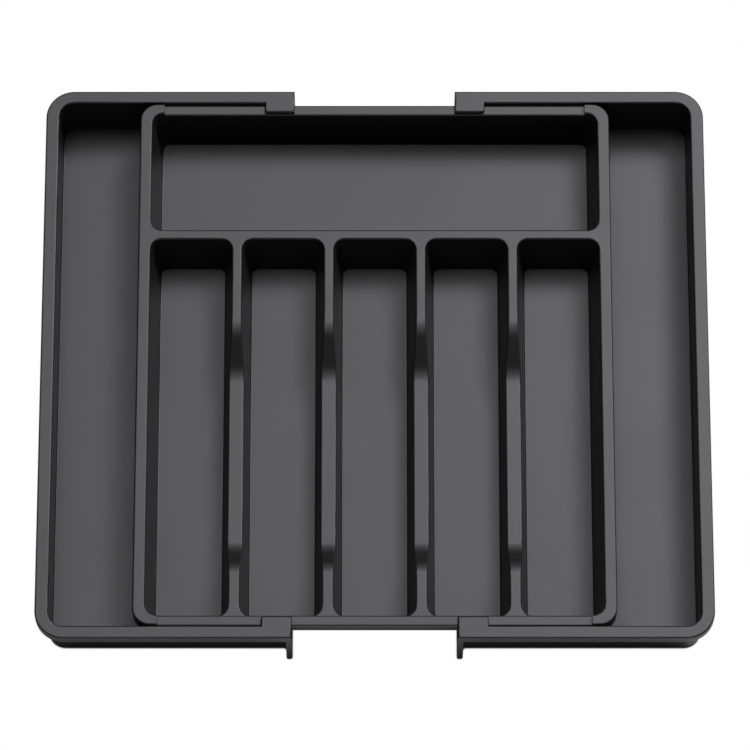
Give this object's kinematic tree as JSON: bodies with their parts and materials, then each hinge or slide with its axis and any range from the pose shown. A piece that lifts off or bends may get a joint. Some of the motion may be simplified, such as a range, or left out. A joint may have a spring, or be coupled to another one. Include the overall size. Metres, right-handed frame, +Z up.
{
  "type": "expandable cutlery tray",
  "caption": "Low moulded cutlery tray for a drawer: a compartmented centre tray with scooped dividers, between side trays that slide out from under it to widen it.",
  "frame": {"origin": "on the surface that the tray stands on, under the middle of the centre tray, with both side trays half pulled out", "axes": "+X to the right, along the slides; +Y to the rear, where the wide compartment is; +Z up"},
  "size_m": [0.4596, 0.4, 0.049],
  "materials": {
    "tray_plastic": "charcoal moulded plastic, satin, with a fine eroded grain",
    "foot_pad": "black soft pad, matte"
  },
  "bodies": {
    "centre": {"centre_tray": "tray_plastic"},
    "left_side": {"left_tray": "tray_plastic", "left_foot_front_inner": "foot_pad", "left_foot_front_outer": "foot_pad", "left_foot_rear_inner": "foot_pad", "left_foot_rear_outer": "foot_pad"},
    "right_side": {"right_tray": "tray_plastic", "right_foot_front_inner": "foot_pad", "right_foot_front_outer": "foot_pad", "right_foot_rear_inner": "foot_pad", "right_foot_rear_outer": "foot_pad"}
  },
  "joints": [
    {"name": "left_slide", "type": "slide", "parent": "centre", "child": "left_side", "axis": [-1, 0, 0], "range_m": [-0.0558, 0.0699]},
    {"name": "right_slide", "type": "slide", "parent": "centre", "child": "right_side", "axis": [1, 0, 0], "range_m": [-0.0558, 0.0699]}
  ]
}
